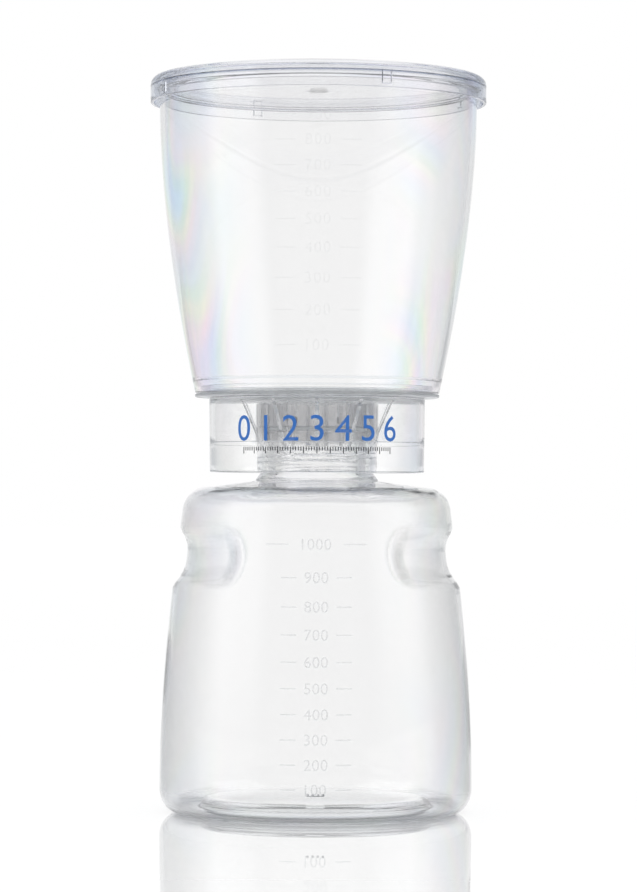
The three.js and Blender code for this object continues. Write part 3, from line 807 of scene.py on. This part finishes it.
# A straight round rod along +Y at the side port's height
def rodMesh(radius, fromY, toY):
    angle = np.linspace(0, 2 * np.pi, 48, endpoint=False)
    ring = np.stack([radius * np.cos(angle), np.zeros_like(angle), radius * np.sin(angle)], axis=-1)
    height = collar["seat"] + collar["portRise"]
    ends = [(ring + np.array([0, y, height])) * mm for y in (fromY, toY)]
    return cleaned(plateBetween("rod", *ends))


def booleaned(mesh, tools, operation):
    holder = bpy.data.objects.new("work", mesh)
    bpy.context.scene.collection.objects.link(holder)
    made = []
    for tool in tools:
        cutter = bpy.data.objects.new("tool", tool)
        bpy.context.scene.collection.objects.link(cutter)
        modifier = holder.modifiers.new("join", "BOOLEAN")
        modifier.operation = operation
        modifier.solver = "EXACT"
        modifier.object = cutter
        made.append(cutter)
    result = evaluatedMesh(holder)
    for obj in [holder, *made]:
        bpy.data.objects.remove(obj)
    return result


def collarMesh():
    c = collar
    ring = c["ringBore"] + c["ringWall"]
    spout = c["spoutBore"] + c["spoutWall"]
    body = turnedMesh("collarShell", collarPath(), 192, collarShift)
    root, low, high = ring - c["rooted"], c["plate"] - c["gussetDrop"], c["plate"] + 0.6
    gusset = [(root, low), (ring, low), (ring + c["gussetReach"], c["plate"]),
              (ring + c["gussetReach"], high), (root, high)]
    adds = [joined("gussets", [plateMesh(gusset, c["gussetThickness"], 360 * i / c["gussets"])
                               for i in range(c["gussets"])])]
    floor, top = c["landTop"] - c["drain"] - c["drainFall"] - 0.1, c["landTop"] - 0.1
    ribs = []
    for i in range(c["ribs"]):
        start = c["ribStart"] * (1 + i % 2)
        end = c["land"] - c["landWidth"] + 1.3
        outline = [(start, floor), (end, floor), (end, top), (start, top)]
        ribs.append(plateMesh(outline, c["ribWidth"], 360 * i / c["ribs"]))
    adds.append(joined("ribs", ribs))
    adds.append(rodMesh(c["portRadius"], root, c["portEnd"]))
    body = booleaned(body, adds, "UNION")
    cuts = [rodMesh(c["portBore"], (spout + c["seatInner"]) / 2, c["portEnd"] - c["socketDepth"] / 2),
            rodMesh(c["socketRadius"], c["portEnd"] - c["socketDepth"], c["portEnd"] + 0.3)]
    return cleaned(booleaned(body, cuts, "DIFFERENCE"))


collarShell = collarMesh()
pieceFrom("collarShell", collarShell, collarPlastic, "filter_top", ["collar"],
          smoothDeg=28)
print("collar made", len(collarShell.polygons))


def smallTurned(name, corners, around, step):
    return turnedMesh(name, refined(filletPath(corners), step), around)


gasketInner, gasketOuter = 16.5, gasketHigh[0]
gasketMesh = smallTurned("neckGasketRing", [
    (gasketInner, gasketLow[2], 0.35), (gasketOuter, gasketLow[2], 0.35),
    (gasketOuter, gasketHigh[2], 0.35), (gasketInner, gasketHigh[2], 0.35)], 128, 0.8)
pieceFrom("neckGasketRing", gasketMesh, gasketSilicone, "seal", ["neck_gasket"])

membraneMesh = smallTurned("membraneDisc", [
    (0, membraneLow[2], 0), (membraneHigh[0], membraneLow[2], 0.05), (membraneHigh[0], membraneHigh[2], 0.05),
    (0, membraneHigh[2], 0)], 160, 2.0)
pieceFrom("membraneDisc", membraneMesh, membraneFilm, "filter_top", ["membrane"])

ringInner = ringHigh[0] - 2.9  # the ring's width
ringMesh = smallTurned("membraneClampRing", [
    (ringInner, ringLow[2], 0.2), (ringHigh[0], ringLow[2], 0.2), (ringHigh[0], ringHigh[2], 0.5),
    (ringInner, ringHigh[2], 0.4)], 192, 1.0)
pieceFrom("membraneClampRing", ringMesh, mouldedPlastic, "filter_top", ["membrane_ring"])


# A turned shape laid on its side at the port's height: its own +Z points along +Y
def laidInPort(mesh, fromY):
    x, y, z = pointsOf(mesh).T
    height = (collar["seat"] + collar["portRise"]) * mm
    return movedTo(mesh, np.stack([x, z + fromY * mm, height - y], axis=-1))


nipple = {
    "bore": 1.7, "stem": 3.0, "socket": 2.75, "flangeRadius": 5.6, "flange": 1.8, "depth": 9.0,
    "barbs": 3, "barbLength": 2.8, "barbGap": 1.8, "barbRadius": 4.3, "tip": 2.0, "gap": 0.3,
}


def nippleCorners():
    n = nipple
    barbFoot = n["depth"] + n["flange"]
    corners = [
        (n["bore"], n["gap"], 0.2), (n["socket"], n["gap"], 0.3), (n["socket"], n["depth"] + n["gap"], 0.1),
        (n["flangeRadius"], n["depth"] + n["gap"], 0.3), (n["flangeRadius"], barbFoot, 0.3),
        (n["stem"], barbFoot, 0.3),
    ]
    for i in range(n["barbs"]):
        foot = barbFoot + n["barbGap"] + i * (n["barbLength"] + n["barbGap"])
        corners += [(n["stem"], foot, 0.2), (n["barbRadius"], foot, 0.15),
                    (n["stem"], foot + n["barbLength"], 0.3)]
    tip = barbFoot + n["barbs"] * (n["barbLength"] + n["barbGap"]) + n["tip"]
    return corners + [(n["stem"], tip, 0.3), (n["bore"], tip, 0.2)]


portFoot = collar["portEnd"] - collar["socketDepth"]
nippleMesh = laidInPort(smallTurned("hoseNippleBarbed", nippleCorners(), 64, 0.6), portFoot)
pieceFrom("hoseNippleBarbed", nippleMesh, mouldedPlastic, "filter_top", ["hose_nipple"])

plugRadius = (plugHigh[0] - plugLow[0]) / 2
plugLength = plugHigh[1] - plugLow[1]
plugMesh = laidInPort(smallTurned("portPlugFibre", [
    (0, 0, 0), (plugRadius, 0, 0.5), (plugRadius, plugLength, 0.5), (0, plugLength, 0)], 48, 0.4), plugLow[1])
pieceFrom("portPlugFibre", plugMesh, plugFibre, "filter_top", ["port_plug"])
print("fittings made")


scalePrint = {
    "figures": 7, "span": 60.0, "pitch": 10.0, "figureHeight": 9.6, "figureMiddle": 146.6,
    "inkDepth": 0.05, "lift": 0.01, "tickTop": 139.6, "longTick": 2.6, "shortTick": 1.5,
    "tickWidth": 0.4, "tickPitch": 1.0,
}


# Radius of the collar's skirt at height z, a straight line from its foot to the plate
def skirtSide(z):
    c = collar
    share = (z - c["bottom"]) / (c["plate"] - c["bottom"])
    return c["skirtBottom"] + (c["skirtTop"] - c["skirtBottom"]) * share


def scaleFigures():
    p = scalePrint
    places = [i * p["pitch"] - p["span"] / 2 for i in range(p["figures"])]
    parts = [figureMesh(str(i), x, p["figureMiddle"], p["figureHeight"], p["inkDepth"])
             for i, x in enumerate(places)]
    return wrapped(joined("scaleFigures", parts), skirtSide, p["lift"])


def scaleTicks():
    p = scalePrint
    parts = []
    for i in range(int(p["span"] / p["tickPitch"]) + 1):
        length = p["longTick"] if i % 5 == 0 else p["shortTick"]
        x = i * p["tickPitch"] - p["span"] / 2
        mesh = barMesh(0, 0, length, p["tickWidth"], p["inkDepth"])
        along, across, out = pointsOf(mesh).T
        upright = np.stack([x - across, p["tickTop"] - length / 2 + along, out], axis=-1)
        parts.append(movedTo(mesh, upright))
    return wrapped(joined("scaleTicks", parts), skirtSide, p["lift"])


pieceFrom("scaleFigures", scaleFigures(), blueInk, "filter_top", smoothDeg=20)
pieceFrom("scaleTicks", scaleTicks(), darkInk, "filter_top", smoothDeg=20)
print("print made")


# A sheet of glossy white acrylic on a light table, which gives a quarter of its white and keeps
# shadows faint. It mirrors the base.
def makeFloor():
    mesh = bpy.data.meshes.new("studioFloor")
    reach, top = 12.0, -0.05 * mm  # a hair below the foot, so the two faces don't coincide
    mesh.from_pydata([(-reach, -reach, top), (reach, -reach, top), (reach, reach, top), (-reach, reach, top)],
                     [], [(0, 1, 2, 3)])
    floor = bpy.data.objects.new("studioFloor", mesh)
    bpy.context.scene.collection.objects.link(floor)
    material, tree = newMaterial("whiteAcrylicSheet")
    matt = addNode(tree, "ShaderNodeBsdfDiffuse", values={"Color": linear("#fdfdfd")})
    glow = addNode(tree, "ShaderNodeEmission", values={"Strength": 1.0})
    sheet = addNode(tree, "ShaderNodeMixShader", values={0: 0.25},
                    links={1: matt.outputs["BSDF"], 2: glow.outputs["Emission"]})
    mirror = addNode(tree, "ShaderNodeBsdfGlossy", values={"Roughness": 0.02, "Color": (1, 1, 1, 1)})
    fresnel = addNode(tree, "ShaderNodeFresnel", values={"IOR": 1.5})
    share = addNode(tree, "ShaderNodeMath", {"operation": "MULTIPLY", "use_clamp": True},
                    links={0: fresnel.outputs["Fac"]}, values={1: 1.25})
    surface = addNode(tree, "ShaderNodeMixShader", links={
        0: share.outputs["Value"], 1: sheet.outputs["Shader"], 2: mirror.outputs["BSDF"]})
    addNode(tree, "ShaderNodeOutputMaterial", links={"Surface": surface.outputs["Shader"]})
    mesh.materials.append(material)


# A white room. Rays through clear plastic see a dark panel up behind the object, which draws the
# lines of the lid, and a grey flag to each side, which draw the dark edges of clear ware. Mirrored
# rays only see a flag to each side. The right flags are the darker ones.
def makeWorld():
    world = bpy.data.worlds.new("studioWhite")
    bpy.context.scene.world = world
    world.use_nodes = True
    tree = world.node_tree
    tree.nodes.clear()
    coords = addNode(tree, "ShaderNodeTexCoord")
    way = addNode(tree, "ShaderNodeSeparateXYZ", links={"Vector": coords.outputs["Generated"]})
    rays = addNode(tree, "ShaderNodeLightPath")
    through = rays.outputs["Is Transmission Ray"]
    mirrored = addNode(tree, "ShaderNodeMath", {"operation": "SUBTRACT", "use_clamp": True}, links={
        0: rays.outputs["Is Glossy Ray"], 1: through}).outputs["Value"]
    colour = "#ffffff"
    # each panel: the rays that see it, its colour, and where it begins and ends along one or two axes
    panels = [(through, "#c4c6ca", [("X", 0.35, 0.8)]), (through, "#dadbdd", [("X", -0.35, -0.8)]),
              (through, "#10151f", [("Z", 0.28, 0.42), ("Z", 0.68, 0.52), ("Y", -0.1, 0.15)]),
              (mirrored, "#c6c8ca", [("X", 0.1, 0.4), ("Y", 0.0, 0.3)]),
              (mirrored, "#d2d4d6", [("X", -0.1, -0.4), ("Y", 0.0, 0.3)])]
    for share, hexColour, spans in panels:
        for axis, start, end in spans:
            part = addNode(tree, "ShaderNodeMapRange", smoothly,
                           links={"Value": way.outputs[axis]},
                           values={"From Min": start, "From Max": end})
            share = addNode(tree, "ShaderNodeMath", multiply,
                            links={0: part.outputs["Result"], 1: share}).outputs["Value"]
        colour = mixed(tree, share, colour, hexColour)
    back = addNode(tree, "ShaderNodeBackground", values={"Strength": 1.0})
    tree.links.new(colour, back.inputs["Color"])
    addNode(tree, "ShaderNodeOutputWorld", links={"Surface": back.outputs["Background"]})


softbox = {"size": (2.3, 2.2), "aim": (0, 0, 0.1), "fade": 0.3}


# A softbox that fades towards its edges over the given share of its width and height, so that the
# clear ware shows it without a hard edge
def makeLamp(name, place, power):
    light = bpy.data.lights.new(name, "AREA")
    light.shape = "RECTANGLE"
    light.size, light.size_y = softbox["size"]
    light.energy = power
    light.use_nodes = True
    tree = light.node_tree
    tree.nodes.clear()
    across = addNode(tree, "ShaderNodeNewGeometry").outputs["Parametric"]
    sheet = addNode(tree, "ShaderNodeSeparateXYZ", links={"Vector": across})
    glow = addNode(tree, "ShaderNodeEmission")
    share = glow.inputs["Strength"]
    edges = [(axis, edge, abs(edge - softbox["fade"])) for axis in "XY" for edge in (0.0, 1.0)]
    for axis, edge, full in edges:
        fade = addNode(tree, "ShaderNodeMapRange", smoothly,
                       links={"Value": sheet.outputs[axis]}, values={"From Min": edge, "From Max": full})
        product = addNode(tree, "ShaderNodeMath", multiply,
                          links={0: fade.outputs["Result"]}, values={1: 1.0})
        tree.links.new(product.outputs["Value"], share)
        share = product.inputs[1]
    addNode(tree, "ShaderNodeOutputLight", links={"Surface": glow.outputs["Emission"]})
    lamp = bpy.data.objects.new(name, light)
    lamp.visible_camera = False
    lamp.visible_glossy = False
    lamp.location = place
    lamp.rotation_euler = (Vector(softbox["aim"]) - Vector(place)).to_track_quat("-Z", "Y").to_euler()
    bpy.context.scene.collection.objects.link(lamp)


# A long lens far off, at the height of the bottle's shoulder: metres, degrees, and the lens in mm
shot = {"distance": 1.369, "height": 0.1208, "across": 0.00058, "pitchUp": 0.82, "roll": 0.25, "lens": 143.7}


def makeCamera():
    camera = bpy.data.cameras.new("camera")
    camera.lens = shot["lens"]
    camera.sensor_width = 36
    camera.clip_end = 50
    holder = bpy.data.objects.new("camera", camera)
    holder.location = (shot["across"], -shot["distance"], shot["height"])
    tilt = Matrix.Rotation(math.radians(90 + shot["pitchUp"]), 3, "X")
    holder.rotation_euler = (tilt @ Matrix.Rotation(math.radians(shot["roll"]), 3, "Z")).to_euler()
    bpy.context.scene.collection.objects.link(holder)
    bpy.context.scene.camera = holder


makeFloor()
makeWorld()
makeLamp("softboxLeft", (-1.7, -0.8, 0.9), 15.3)
makeLamp("softboxRight", (1.7, -0.6, 0.9), 13.3)
makeCamera()
scene = bpy.context.scene
scene.view_settings.view_transform = "Standard"
scene.cycles.max_bounces = 64
scene.cycles.transmission_bounces = 64
scene.cycles.glossy_bounces = 64
scene.cycles.transparent_max_bounces = 24

print("scene ready")
